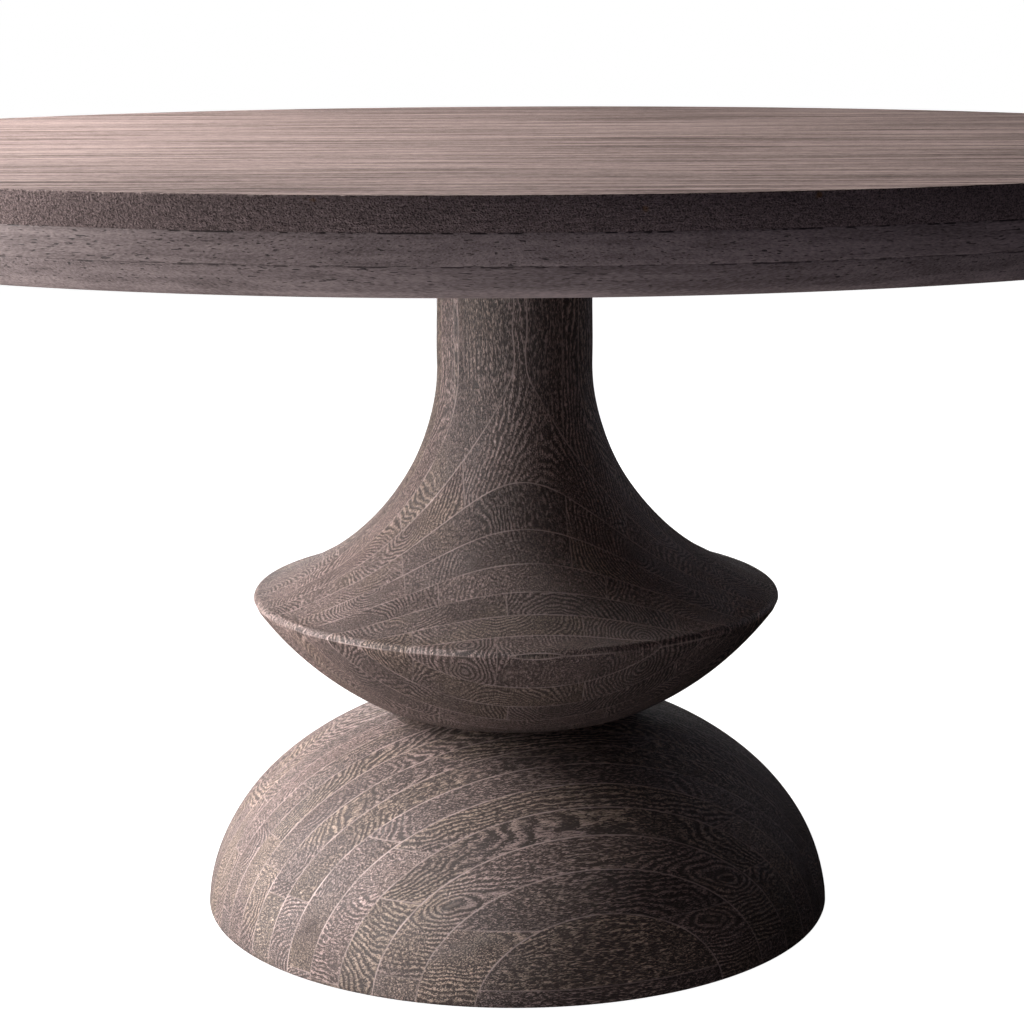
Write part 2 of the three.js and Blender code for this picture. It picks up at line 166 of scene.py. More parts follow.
def grid_faces(rows, columns, wrap_rows=False, wrap_columns=False):
    """Quads over a grid of vertices that is stored row by row."""
    faces = []
    for i in range(rows if wrap_rows else rows - 1):
        for j in range(columns if wrap_columns else columns - 1):
            a, b = i * columns, (i + 1) % rows * columns
            k = (j + 1) % columns
            faces.append((a + j, b + j, b + k, a + k))
    return faces


def at_angle(size, angle):
    """A size, which is either a number or a function of the angle."""
    return size(angle) if callable(size) else size


def around(profile, angle, centre=(0, 0)):
    """A profile of (radius, height) points, stood up at an angle round an upright axis."""
    points = []
    for r, z in profile:
        radius = at_angle(r, angle)
        x, y = centre[0] + radius * math.cos(angle), centre[1] + radius * math.sin(angle)
        points.append((x, y, at_angle(z, angle)))
    return points


def turned_ring(profile, steps, centre=(0, 0)):
    """Vertices and faces of a closed profile turned about an upright axis that it doesn't touch.
    The profile runs anticlockwise, seen with the axis on its left."""
    vertices = []
    for i in range(steps):
        vertices += around(profile, TURN * i / steps, centre)
    return vertices, grid_faces(steps, len(profile), True, True)


def turned_solid(profile, steps, centre=(0, 0)):
    """The same for an open profile whose two ends are closed on the axis, first end at the bottom."""
    vertices = []
    for i in range(steps):
        vertices += around(profile, TURN * i / steps, centre)
    n = len(profile)
    faces = grid_faces(steps, n, True, False)
    bottom, top = len(vertices), len(vertices) + 1
    vertices += [(*centre, at_angle(profile[0][1], 0)), (*centre, at_angle(profile[-1][1], 0))]
    for i in range(steps):
        k = (i + 1) % steps
        faces.append((bottom, k * n, i * n))
        faces.append((top, i * n + n - 1, k * n + n - 1))
    return vertices, faces


def arc(circle, start, end, steps):
    """Points along an arc of a circle (radius, height, size), ends included. Angles in degrees."""
    points = []
    for i in range(steps + 1):
        angle = math.radians(start + (end - start) * i / steps)
        points.append((circle[0] + circle[2] * math.cos(angle), circle[1] + circle[2] * math.sin(angle)))
    return points


def rounded(profile, radius, steps=4):
    """A closed profile with its sharp corners eased by a small round. Short sides ease less."""
    nearly_straight = math.radians(150)
    eased = []
    count = len(profile)
    for i, (r, z) in enumerate(profile):
        before, after = profile[i - 1], profile[(i + 1) % count]
        corner = Vector((r, z))
        into = Vector((before[0] - r, before[1] - z))
        out = Vector((after[0] - r, after[1] - z))
        if into.angle(out, math.pi) > nearly_straight:
            eased.append((r, z))
            continue
        size = min(radius, into.length / 3, out.length / 3)
        a, b = corner + into.normalized() * size, corner + out.normalized() * size
        for j in range(steps + 1):
            t = j / steps
            point = a * (1 - t) ** 2 + corner * 2 * t * (1 - t) + b * t**2
            eased.append((point.x, point.y))
    return eased


def edge_radius(z):
    """Radius of the table's edge at a height: it rolls inwards as it goes down."""
    drop = TABLE_HEIGHT - z
    return TOP_RADIUS - EDGE_CURVE_RADIUS + math.sqrt(EDGE_CURVE_RADIUS**2 - drop**2)


def chip(x, y, size, depth):
    """How much a worn corner has lost at a place: mostly nothing, and here and there a chip."""
    untouched = 0.55
    value = noise.noise(Vector((x, y, 0)) / size) * 0.5 + 0.5
    return depth * max(0.0, value - untouched) / (1 - untouched)


# ---------------- the top


ARC_STEP = 1.6 * MM  # between the points of a board's round ends


def board_outline(front, back, radius, wear_and_highlight, steps):
    """The outline of one board of the top: straight along its joints, round at both ends."""
    low = math.asin(max(front / radius, -1))
    high = math.asin(min(back / radius, 1))
    points = []
    for side in (1, -1):
        for i in range(steps + 1):
            share = i / steps if side == 1 else 1 - i / steps
            angle = low + (high - low) * share
            x, y = radius * math.cos(angle), radius * math.sin(angle)
            loss = 1 - chip(side * x, y, 8 * MM, wear_and_highlight) / radius
            points.append((side * x * loss, y * loss))
    return points


def board_levels():
    """Heights down the side of a board, each with how far the joints are eased there, the radius of
    the rim and how deep its chips go."""
    joint, arris = 0.12 * MM, 0.9 * MM
    rim = edge_radius(TABLE_HEIGHT)
    shoulder = TABLE_HEIGHT - arris
    levels = [(TABLE_HEIGHT, joint * 1.5, rim - arris, 1.6 * MM),
              (TABLE_HEIGHT - arris * 0.3, joint, rim - arris * 0.3, 1.2 * MM),
              (shoulder, joint / 2, edge_radius(shoulder) - 0.05 * MM, 0.7 * MM)]
    rows = 7
    for i in range(1, rows + 1):
        z = shoulder - (shoulder - BOARD_BOTTOM) * i / rows
        levels.append((z, joint / 2, edge_radius(z), 0.0))
    return levels


def build_board(name):
    """One board: flat top and bottom, eased joints, and a slightly chipped rim."""
    low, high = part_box(name)
    front, back = max(low.y, -TOP_RADIUS), min(high.y, TOP_RADIUS)
    turn = math.asin(back / TOP_RADIUS) - math.asin(front / TOP_RADIUS)
    steps = math.ceil(turn * TOP_RADIUS / ARC_STEP)
    levels = board_levels()
    vertices = []
    for z, inset, radius, wear_and_highlight in levels:
        outline = board_outline(front + inset, back - inset, radius, wear_and_highlight, steps)
        vertices += [(x, y, z) for x, y in outline]
    n = len(outline)
    faces = grid_faces(len(levels), n, False, True)
    faces.append(tuple(range(n)))
    faces.append(tuple(reversed(range((len(levels) - 1) * n, len(levels) * n))))
    piece = make_piece(name + "_wood", vertices, faces, sharp_angle=15)
    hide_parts(name)
    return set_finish(piece, "top_wood")


def ring_profile(bottom, top, is_lowest):
    """Closed section of a ring layer, from its inner bottom corner, anticlockwise. The lowest layer
    turns under in a soft nose."""
    rows = 10
    outer = []
    for i in range(rows + 1):
        z = bottom + (top - bottom) * i / rows
        outer.append((edge_radius(z), z))
    if is_lowest:
        nose = 4 * MM
        foot = edge_radius(bottom)
        side = bottom + 0.6 * nose
        under = [(foot - 1.6 * nose, bottom), (foot - 0.7 * nose, bottom + 0.18 * nose),
                 (edge_radius(side) - 0.12 * nose, side)]
        outer = under + [point for point in outer if point[1] > bottom + nose]
    return rounded([(RING_INNER_RADIUS, bottom)] + outer + [(RING_INNER_RADIUS, top)], 0.3 * MM, 2)


def build_ring_segment(name, middle, profile):
    """A segment of a ring layer, with mitred ends a hair apart from its neighbours."""
    gap = 0.05 * MM / TOP_RADIUS
    half = TURN / SEGMENTS / 2 - gap
    steps = 90
    vertices = []
    for i in range(steps + 1):
        vertices += around(profile, middle - half + 2 * half * i / steps)
    n = len(profile)
    faces = grid_faces(steps + 1, n, False, True)
    faces.append(tuple(reversed(range(n))))
    faces.append(tuple(range(steps * n, (steps + 1) * n)))
    piece = make_piece(name + "_wood", vertices, faces)
    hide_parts(name)
    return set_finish(piece, "ring_wood")


def build_top():
    """The boards, and the ring under them, whose lower joints lie half a segment further round."""
    boards = [build_board(name) for name in BOARDS]
    upper = ring_profile(LAYER_JOINT, BOARD_BOTTOM, False)
    lower = ring_profile(RING_BOTTOM, LAYER_JOINT, True)
    segments = []
    for i in range(SEGMENTS):
        segments.append(build_ring_segment(UPPER_RING[i], TURN * i / SEGMENTS, upper))
        segments.append(build_ring_segment(LOWER_RING[i], TURN * (i + 0.5) / SEGMENTS, lower))
    return boards, segments


# ---------------- drilling and copying


def bake_modifiers(piece):
    """Replaces a piece's mesh by what its modifiers make of it."""
    graph = bpy.context.evaluated_depsgraph_get()
    mesh = bpy.data.meshes.new_from_object(piece.evaluated_get(graph))
    piece.modifiers.clear()
    piece.data = mesh


def drilled(piece, profile, places, steps=40):
    """Cuts a turned hole into a piece at each place."""
    vertices, faces = [], []
    for place in places:
        more_vertices, more_faces = turned_solid(profile, steps, place)
        first = len(vertices)
        vertices += more_vertices
        faces += [tuple(first + i for i in face) for face in more_faces]
    cutter = make_piece("cutter", vertices, faces)
    cut = piece.modifiers.new("holes", "BOOLEAN")
    cut.operation, cut.solver, cut.object = "DIFFERENCE", "EXACT", cutter
    bake_modifiers(piece)
    bpy.data.objects.remove(cutter)
    shade(piece.data)
    return piece


def eased_copy(name, ease):
    """A copy of a flat-sided CAD node with its sharp edges eased, which stands for the node."""
    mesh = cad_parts[name].data.copy()
    tidy = bmesh.new()
    tidy.from_mesh(mesh)
    bmesh.ops.remove_doubles(tidy, verts=tidy.verts, dist=0.002 * MM)
    bmesh.ops.dissolve_limit(tidy, angle_limit=math.radians(1), verts=tidy.verts, edges=tidy.edges)
    tidy.to_mesh(mesh)
    tidy.free()
    piece = add_object(name + "_eased", mesh)
    bevel = piece.modifiers.new("ease", "BEVEL")
    bevel.width, bevel.segments, bevel.limit_method = ease, 3, "ANGLE"
    bevel.angle_limit = math.radians(25)
    bake_modifiers(piece)
    shade(piece.data, 40)
    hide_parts(name)
    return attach(piece, "root")


# ---------------- the turned pedestal


def flare_curve(steps):
    """The flare from the rim up to the column: part of an ellipse, tangent to the column."""
    points = []
    for i in range(steps + 1):
        share = 1 - i / steps
        radius = COLUMN_RADIUS + (FLARE_END_RADIUS - COLUMN_RADIUS) * share**2
        across = (COLUMN_RADIUS + FLARE_REACH - radius) / FLARE_REACH
        points.append((radius, FLARE_TOP - FLARE_DROP * math.sqrt(1 - across**2)))
    return points


def straight(start, end, steps):
    """Points from start towards end, with the end itself left out."""
    return [(start[0] + (end[0] - start[0]) * i / steps, start[1] + (end[1] - start[1]) * i / steps)
            for i in range(steps)]


def swept(start, corner, end, steps):
    """Points along a curve from start towards end that a corner pulls in, the end itself left out."""
    points = []
    for i in range(steps):
        t = i / steps
        weights = ((1 - t) ** 2, 2 * t * (1 - t), t**2)
        points.append(tuple(sum(w * p[k] for w, p in zip(weights, (start, corner, end))) for k in (0, 1)))
    return points


def column_profile():
    """Closed section, anticlockwise from the bottom of the bore: heel, bowl, the rim's ridge and nose,
    the dish that sweeps up into the flare, column, and the hole for the plate's boss."""
    ridge_angle = -math.degrees(math.acos(RIM_RIDGE[0] / BOWL[2]))
    heel_angle = -math.degrees(math.acos(HEEL_START / BOWL[2]))
    heel_end = math.degrees(math.asin((BASE_TOP - BOWL_HEEL[1]) / BOWL_HEEL[2]))
    below_ridge = arc(BOWL, ridge_angle - 1, ridge_angle, 1)[0]
    nose_side = (RIM_NOSE[0] + RIM_NOSE[2], RIM_NOSE[1])
    nose_top = (RIM_NOSE[0], RIM_NOSE[1] + RIM_NOSE[2])
    flare = flare_curve(60)
    ease = 1 * MM
    shoulder = (COLUMN_RADIUS, COLUMN_TOP - ease)
    profile = [(ROD_HOLE_RADIUS, BASE_TOP), (BOWL_HEEL[0] + 6 * MM, BASE_TOP)]
    profile += arc(BOWL_HEEL, heel_end, heel_angle, 12)
    profile += arc(BOWL, heel_angle, ridge_angle, 36)[1:-1]
    profile += rounded([below_ridge, RIM_RIDGE, nose_side], 0.9 * MM, 3)[1:-1]
    profile += arc(RIM_NOSE, 0, 90, 10)
    profile += swept(nose_top, RIM_LIP_START, flare[0], 24)[1:]
    profile += flare
    profile += straight(flare[-1], shoulder, 24)[1:]
    profile += [shoulder, (COLUMN_RADIUS - ease, COLUMN_TOP)]
    profile += [(BOSS_HOLE_RADIUS, COLUMN_TOP), (BOSS_HOLE_RADIUS, BOSS_HOLE_BOTTOM)]
    profile += [(ROD_HOLE_RADIUS, BOSS_HOLE_BOTTOM)]
    return profile


def hand_turned(vertices):
    """The slight unevenness that a turner's hand leaves in the outer surface. It fades out towards
    the faces on which the blocks meet each other, the plate and the floor."""
    innermost, wave, most, fade = 70 * MM, 90 * MM, 0.5 * MM, 10 * MM
    moved = []
    for x, y, z in vertices:
        radius = math.hypot(x, y)
        swing = noise.noise(Vector((x, y, z * 2)) / wave) * most if radius > innermost else 0
        swing *= min(1, (COLUMN_TOP - z) / fade, abs(z - BASE_TOP) / fade, (z - BASE_BOTTOM) / fade)
        moved.append((x * (1 + swing / radius), y * (1 + swing / radius), z))
    return moved


def dowel_hole():
    """The hole for a dowel, a little wider and longer than the dowel."""
    low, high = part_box(DOWELS[0])
    radius, end_gap = 6.3 * MM, 2 * MM
    return [(radius, low.z - end_gap), (radius, high.z + end_gap)]


def build_column():
    """Column, flare, rim and bowl: one turned block."""
    vertices, faces = turned_ring(column_profile(), steps=320)
    piece = make_piece("column_wood", hand_turned(vertices), faces)
    drilled(piece, dowel_hole(), DOWEL_PLACES)
    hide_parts("turned_column")
    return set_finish(piece, "pedestal_wood")


def dome_profile():
    """Closed section of the base, anticlockwise from the top of the nut's recess."""
    edge, ease, steps = 1.5 * MM, 1 * MM, 64
    low = math.asin((BASE_BOTTOM + edge - DOME_CENTRE) / DOME_RISE)
    high = math.asin((BASE_TOP - DOME_CENTRE) / DOME_RISE)
    curve = []
    for i in range(steps + 1):
        angle = low + (high - low) * i / steps
        curve.append((DOME_RADIUS * math.cos(angle), DOME_CENTRE + DOME_RISE * math.sin(angle)))
    foot = [(curve[0][0] - edge, BASE_BOTTOM), (curve[0][0] - edge * 0.3, BASE_BOTTOM + edge * 0.3)]
    profile = [(ROD_HOLE_RADIUS, RECESS_TOP), (RECESS_RADIUS, RECESS_TOP)]
    profile += [(RECESS_RADIUS, BASE_BOTTOM + ease), (RECESS_RADIUS + ease, BASE_BOTTOM)]
    return profile + foot + curve + [(ROD_HOLE_RADIUS, BASE_TOP)]


def leveller_hole():
    """The pocket for a leveller's pad, the hole for its insert, and room for its stem above."""
    ease = 1 * MM
    insert_radius, insert_top = 7.8 * MM, 34.3 * MM
    stem_radius, stem_top = 6 * MM, 60 * MM
    return [(POCKET_RADIUS + ease, BASE_BOTTOM - ease), (POCKET_RADIUS + ease, BASE_BOTTOM),
            (POCKET_RADIUS, BASE_BOTTOM + ease), (POCKET_RADIUS, POCKET_TOP),
            (insert_radius, POCKET_TOP), (insert_radius, insert_top),
            (stem_radius, insert_top), (stem_radius, stem_top)]


def build_dome():
    """The domed base, with the holes of the levellers cut into its underside."""
    vertices, faces = turned_ring(dome_profile(), steps=360)
    piece = make_piece("dome_wood", hand_turned(vertices), faces)
    drilled(piece, leveller_hole(), LEVELLER_PLACES, steps=64)
    drilled(piece, dowel_hole(), DOWEL_PLACES)
    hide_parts("dome_base")
    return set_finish(piece, "pedestal_wood")


# ---------------- screws, nut, rod and levellers


def hexagon(across_flats):
    """Radius of a hexagon as a function of the angle."""
    side = TURN / 6

    def radius(angle):
        turn = (angle + side / 2) % side - side / 2
        return across_flats / 2 / math.cos(turn)
    return radius


def hexagon_rows(across_flats, low, high, chamfer_high=True):
    """The side of a hexagonal head from low to high. Its corners are turned off at 30 degrees, at the
    low end always and at the high end where that is asked."""
    flat = across_flats / 2 * 0.96
    side = hexagon(across_flats)

    def rise(angle):
        return (side(angle) - flat) * math.tan(math.radians(30))

    rows = [(flat, low), (side, lambda angle: low + rise(angle))]
    if chamfer_high:
        return rows + [(side, lambda angle: high - rise(angle)), (flat, high)]
    return rows + [(side, high)]


def thread_rows(crest, depth, pitch, low, high):
    """A right-hand screw thread, as rows whose radius changes with the angle."""
    rows_per_turn = 6

    def radius_at(z):
        return lambda angle: crest - depth * abs(2 * ((z / pitch - angle / TURN) % 1) - 1)

    count = round((high - low) / pitch * rows_per_turn)
    heights = [low + (high - low) * i / count for i in range(count + 1)]
    return [(radius_at(z), z) for z in heights]


def build_round(name, profile, steps, slot_name, centre=(0, 0), body="root", hollow=False):
    """A turned piece that stands for the CAD node of the same name."""
    make = turned_ring if hollow else turned_solid
    vertices, faces = make(profile, steps, centre)
    piece = make_piece(name + "_fine", vertices, faces, body)
    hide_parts(name)
    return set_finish(piece, slot_name)


def build_plate():
    """The mounting plate, with its welded boss and the holes for the lag screws."""
    boss_bottom = PLATE_BOX[0].z
    bore, boss, ease, weld = ROD_RADIUS + ROD_CLEARANCE, 20 * MM, 1 * MM, 3 * MM
    profile = [(bore, PLATE_BOTTOM + 2 * MM), (bore, boss_bottom + ease), (bore + ease, boss_bottom)]
    profile += [(boss - ease, boss_bottom), (boss, boss_bottom + ease), (boss, PLATE_BOTTOM - weld)]
    profile += [(boss + weld * 0.6, PLATE_BOTTOM - weld * 0.6), (boss + weld, PLATE_BOTTOM)]
    profile += [(PLATE_RADIUS - ease, PLATE_BOTTOM)]
    profile += [(PLATE_RADIUS - ease * 0.3, PLATE_BOTTOM + ease * 0.3)]
    profile += [(PLATE_RADIUS, PLATE_BOTTOM + ease), (PLATE_RADIUS, BOARD_BOTTOM)]
    piece = build_round("mounting_plate", profile, 160, "black_steel")
    hole_radius, beyond = 4.5 * MM, 1 * MM
    hole = [(hole_radius, PLATE_BOTTOM - beyond), (hole_radius, BOARD_BOTTOM + beyond)]
    return drilled(piece, hole, [middle_of(name) for name in LAG_SCREWS])


def build_lag_screw(name):
    """A hexagon-head wood screw, with its thread in the board."""
    low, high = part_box(name)
    shank, depth, pitch = 4 * MM, 0.8 * MM, 3 * MM
    plain, dish = 9 * MM, 0.3 * MM
    profile = [(3 * MM, low.z + dish), (4 * MM, low.z)]
    profile += hexagon_rows(13 * MM, low.z, PLATE_BOTTOM, chamfer_high=False)
    profile += [(shank, PLATE_BOTTOM)]
    profile += thread_rows(shank, depth, pitch, PLATE_BOTTOM + plain, high.z - shank)
    profile += [(0.6 * MM, high.z - 0.5 * MM)]
    return build_round(name, profile, 36, "zinc_steel", middle_of(name))


def build_batten_screw(name):
    """A pan-head screw, with a cross recess for the driver."""
    low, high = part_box(name)
    seat = low.z + 3.5 * MM
    shank, head, crown, row = 2.5 * MM, 5.5 * MM, 3.3 * MM, 0.3 * MM
    recess_half, recess_reach, recess_depth, recess_slope = 0.55 * MM, 2.3 * MM, 1.7 * MM, 0.35

    def face(radius):
        def height(angle):
            beside = radius * min(abs(math.cos(angle)), abs(math.sin(angle)))
            if beside < recess_half and radius < recess_reach:
                return low.z + recess_depth - radius * recess_slope
            return low.z + 0.25 * MM * (radius / crown) ** 2
        return height

    profile = [(i * row, face(i * row)) for i in range(1, 12)]
    profile += arc((crown, low.z + 2.45 * MM, 2.2 * MM), -75, 0, 6)
    profile += [(head, seat), (shank, seat), (shank, high.z - shank), (0.4 * MM, high.z)]
    return build_round(name, profile, 48, "zinc_steel", middle_of(name))


def build_rod():
    """The rod that pulls plate, column and base together, threaded at both ends."""
    low, high = ROD_BOX[0].z, ROD_BOX[1].z
    chamfer, depth, pitch = 1.5 * MM, 1.2 * MM, 2.5 * MM
    lower_thread, upper_thread, run_out = 80 * MM, 60 * MM, 2 * MM
    plain = ROD_RADIUS - depth / 2
    profile = [(ROD_RADIUS - chamfer, low)]
    profile += thread_rows(ROD_RADIUS, depth, pitch, low + chamfer, low + lower_thread)
    profile += [(plain, low + lower_thread + run_out), (plain, high - upper_thread - run_out)]
    profile += thread_rows(ROD_RADIUS, depth, pitch, high - upper_thread, high - chamfer)
    profile += [(ROD_RADIUS - chamfer, high)]
    return build_round("tie_rod", profile, 48, "zinc_steel")


def build_nut_and_washer():
    """The nut under the base, with its corners turned off, and the washer above it."""
    bore = ROD_RADIUS + ROD_CLEARANCE
    rim = 0.8 * MM
    low, high = NUT_BOX[0].z, NUT_BOX[1].z
    nut = [(bore, low + rim), (bore + rim, low)] + hexagon_rows(30 * MM, low, high)
    nut += [(bore + rim, high), (bore, high - rim)]
    low, high, edge = WASHER_BOX[0].z, WASHER_BOX[1].z, WASHER_BOX[1].x
    washer = rounded([(bore, low), (edge, low), (edge, high), (bore, high)], 0.7 * MM)
    return [build_round("rod_nut", nut, 72, "zinc_steel", hollow=True),
            build_round("rod_washer", washer, 120, "zinc_steel", hollow=True)]


def build_dowel(name):
    """A dowel with glue flutes and chamfered ends."""
    low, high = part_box(name)
    radius, flute_depth, flutes, chamfer = 6 * MM, 0.3 * MM, 14, 1 * MM

    def fluted(angle):
        return radius - flute_depth / 2 * (1 - math.cos(flutes * angle))

    profile = [(radius - chamfer, low.z), (fluted, low.z + chamfer)]
    profile += [(fluted, high.z - chamfer), (radius - chamfer, high.z)]
    return build_round(name, profile, 84, "batten_wood", middle_of(name))


def build_pad(number, place):
    """A moulded pad with a socket that grips the ball and a shallow dish in its sole."""
    height, radius, dish = 8 * MM, 17 * MM, 0.6 * MM
    socket = (BALL[0], BALL[1], BALL[2] + 0.4 * MM)
    mouth = math.degrees(math.asin((height - socket[1]) / socket[2]))
    profile = [(2 * MM, dish), (11 * MM, dish), (12 * MM, 0), (15.5 * MM, 0), (16.6 * MM, 0.45 * MM)]
    profile += [(radius, 1.5 * MM), (radius, 4.1 * MM), (16.3 * MM, 4.8 * MM), (8.6 * MM, 7.9 * MM)]
    profile += [(8 * MM, height)] + arc(socket, mouth, -85, 12)
    return build_round(f"leveller_pad_{number}", profile, 64, "nylon", place, f"foot_{number}")


def build_stem(number, place):
    """A threaded stem with a ball end and a hexagonal collar."""
    low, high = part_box(f"leveller_stem_{number}")
    collar, shoulder = low.z + 6.6 * MM, low.z + 11.6 * MM
    crest, depth, pitch = 5 * MM, 0.75 * MM, 1.5 * MM
    profile = arc(BALL, -88, 52, 12) + [(2.1 * MM, collar)]
    profile += hexagon_rows(13 * MM, collar, shoulder) + [(4.4 * MM, shoulder)]
    profile += thread_rows(crest, depth, pitch, shoulder + 0.6 * MM, high.z - 1 * MM)
    profile += [(4 * MM, high.z)]
    return build_round(f"leveller_stem_{number}", profile, 36, "zinc_steel", place, f"stem_{number}")


def build_insert(number, place):
    """The insert in the base that the stem screws through, with a plain bore."""
    low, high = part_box(f"leveller_insert_{number}")
    bore, outside = 5.3 * MM, 7.5 * MM
    ring = [(bore, low.z), (outside, low.z), (outside, high.z), (bore, high.z)]
    return build_round(f"leveller_insert_{number}", rounded(ring, 0.5 * MM), 48, "zinc_steel", place,
                       hollow=True)


def build_leveller(number, place):
    """One levelling foot: its pad, its stem and its insert."""
    return [build_pad(number, place), build_stem(number, place), build_insert(number, place)]


# ---------------- shader graphs


def operator(kind, swapped=False):
    """A method that does arithmetic by a math node."""
    def apply(self, other):
        return self.graph.math(kind, other, self) if swapped else self.graph.math(kind, self, other)
    return apply


class Value:
    """A number or vector socket that arithmetic can be written with."""

    def __init__(self, graph, socket):
        self.graph, self.socket = graph, socket

    __add__, __radd__ = operator("ADD"), operator("ADD", True)
    __sub__, __rsub__ = operator("SUBTRACT"), operator("SUBTRACT", True)
    __mul__, __rmul__ = operator("MULTIPLY"), operator("MULTIPLY", True)
    __truediv__ = operator("DIVIDE")


class Graph:
    """Builds a material's node tree."""

    def __init__(self, name):
        self.material = bpy.data.materials.new(name)
        self.material.use_nodes = True
        self.tree = self.material.node_tree
        self.shader = self.tree.nodes["Principled BSDF"]

    def node(self, kind, **settings):
        made = self.tree.nodes.new("ShaderNode" + kind)
        for key, setting in settings.items():
            setattr(made, key, setting)
        return made

    def plug(self, socket, value):
        if isinstance(value, Value):
            self.tree.links.new(value.socket, socket)
        else:
            socket.default_value = value

    def math(self, operation, *values):
        made = self.node("Math", operation=operation)
        for socket, value in zip(made.inputs, values):
            self.plug(socket, value)
        return Value(self, made.outputs[0])

    def place(self):
        """The point on the object, as three numbers in millimetres."""
        made = self.node("TexCoord")
        return [part * PER_MM for part in self.split(Value(self, made.outputs["Object"]))]

    def split(self, vector):
        made = self.node("SeparateXYZ")
        self.plug(made.inputs[0], vector)
        return [Value(self, output) for output in made.outputs]

    def join(self, x, y, z):
        made = self.node("CombineXYZ")
        for socket, value in zip(made.inputs, (x, y, z)):
            self.plug(socket, value)
        return Value(self, made.outputs[0])

    def turned(self, x, y, angle):
        """x and y in axes turned by an angle."""
        c, s = math.cos(angle), math.sin(angle)
        return x * c + y * s, y * c - x * s

    def noise(self, vector, size, detail=2.0, roughness=0.5):
        """Smooth noise from 0 to 1, with blobs of about this size."""
        made = self.node("TexNoise")
        self.plug(made.inputs["Vector"], vector)
        made.inputs["Scale"].default_value = 1 / size
        made.inputs["Detail"].default_value = detail
        made.inputs["Roughness"].default_value = roughness
        return Value(self, made.outputs[0])

    def random(self, x, y=0.0, z=0.0):
        """Three random numbers from 0 to 1 for each whole-number place."""
        made = self.node("TexWhiteNoise", noise_dimensions="3D")
        self.plug(made.inputs["Vector"], self.join(x, y, z))
        return self.split(Value(self, made.outputs["Color"]))

    def step(self, value, low, high):
        """0 below low and 1 above high, smooth between; high may be the smaller one."""
        made = self.node("MapRange", interpolation_type="SMOOTHSTEP")
        made.clamp = True
        self.plug(made.inputs["Value"], value)
        self.plug(made.inputs["From Min"], low)
        self.plug(made.inputs["From Max"], high)
        return Value(self, made.outputs[0])

    def mix(self, share, a, b):
        """Colour a where share is 0, and b where it is 1. The node's sockets for colours share their
        names with those for numbers, so they are found by their place."""
        made = self.node("Mix", data_type="RGBA")
        self.plug(made.inputs[0], share)
        self.plug(made.inputs[6], a if isinstance(a, Value) else (*a, 1))
        self.plug(made.inputs[7], b if isinstance(b, Value) else (*b, 1))
        return Value(self, made.outputs[2])

    def brighten(self, colour, factor):
        """A colour multiplied by a number."""
        made = self.node("VectorMath", operation="SCALE")
        self.plug(made.inputs[0], colour)
        self.plug(made.inputs["Scale"], factor)
        return Value(self, made.outputs[0])

    def finish(self, colour, roughness, height=None, depth=0.5 * MM, strength=1.0, **uniform):
        """Wires the shader. Height is from 0 to 1 over a relief of this depth."""
        self.plug(self.shader.inputs["Base Color"], colour)
        self.plug(self.shader.inputs["Roughness"], roughness)
        for name, value in uniform.items():
            self.shader.inputs[name.replace("_", " ")].default_value = value
        if height is not None:
            bump = self.node("Bump")
            bump.inputs["Strength"].default_value = strength
            bump.inputs["Distance"].default_value = depth
            self.plug(bump.inputs["Height"], height)
            self.tree.links.new(bump.outputs[0], self.shader.inputs["Normal"])
        return self.material


# ---------------- wood


SEAM_WIDTH = 0.95

# The boards of each turned block and how their wood is figured. Lengths are in millimetres.
COLUMN_BLOCK = {
    "upright": True, "turn": math.radians(4),  # the grain's way, and the boards' turn about the axis
    "thickness": 26.2, "width": 156, "shift": -0.115,  # shift of the row, in boards
    "strip_draw": 3.0, "board_draw": 7.0,  # which rows of the random numbers are drawn from
    "pith_spread": 110, "pith_depth": 80,  # how far the hearts of the boards' trees are scattered
    "ring_gap": 3.9,
    "drift": 34, "sway": 11, "waver": 4.5,  # how far slow, quicker and quick noise bend the rings
    "line_weight": 0.5, "line_least": 0.06,  # of the rings' lines, in clear patches and elsewhere
    "fleck": 0.85, "fleck_reach": 24, "stretch": 0.14,  # size, length round the heart, along the grain
    "grit": 0.6, "grit_stretch": 0.18,
    "darkest": -0.10, "palest": 0.42,  # the values of the field that get the two colours
}
DOME_BLOCK = dict(COLUMN_BLOCK, upright=False, turn=math.radians(15), thickness=25.3, width=118,
                  shift=0.42, strip_draw=11.0, board_draw=13.0, stretch=0.09, grit=0.62,
                  grit_stretch=0.12, darkest=-0.02, palest=0.33)

DARK_WOOD = (0.058, 0.036, 0.030)
PALE_GRAIN = (0.62, 0.432, 0.388)
WARM_GRAIN = (0.62, 0.448, 0.33)
# Colour of the joints, also used for the painted highlight on the rim's ridge.
SEAM_AND_HIGHLIGHT = (0.58, 0.43, 0.39)
TOP_DARK = (0.086, 0.061, 0.055)
TOP_PALE = (0.38, 0.285, 0.262)
EDGE_DARK = (0.060, 0.045, 0.043)
EDGE_PALE = (0.50, 0.37, 0.352)
RUSTY_SPOT = (0.30, 0.15, 0.06)
# Chipped wood with a painted highlight, along the top arris.
CHIPPED_ARRIS_AND_HIGHLIGHT = (0.50, 0.38, 0.35)
RING_DARK = (0.20, 0.147, 0.14)
RING_PALE = (0.58, 0.45, 0.432)
PIT_WOOD = (0.020, 0.014, 0.013)
PLANED_DARK = (0.34, 0.22, 0.13)
PLANED_PALE = (0.52, 0.37, 0.23)
PLANED_PORE = (0.16, 0.09, 0.05)


def square(value):
    return value * value


def add(g, a, b):
    """The sum of two vectors."""
    made = g.node("VectorMath", operation="ADD")
    g.plug(made.inputs[0], a)
    g.plug(made.inputs[1], b)
    return Value(g, made.outputs[0])


def board_row(g, distance, width, shift):
    """The board at a distance across a row of boards: its number, the place within it, and the
    distance to the nearest joint."""
    position = distance / width + shift
    index = g.math("FLOOR", position)
    local = (position - index - 0.5) * width
    return index, local, width * 0.5 - g.math("ABSOLUTE", local)


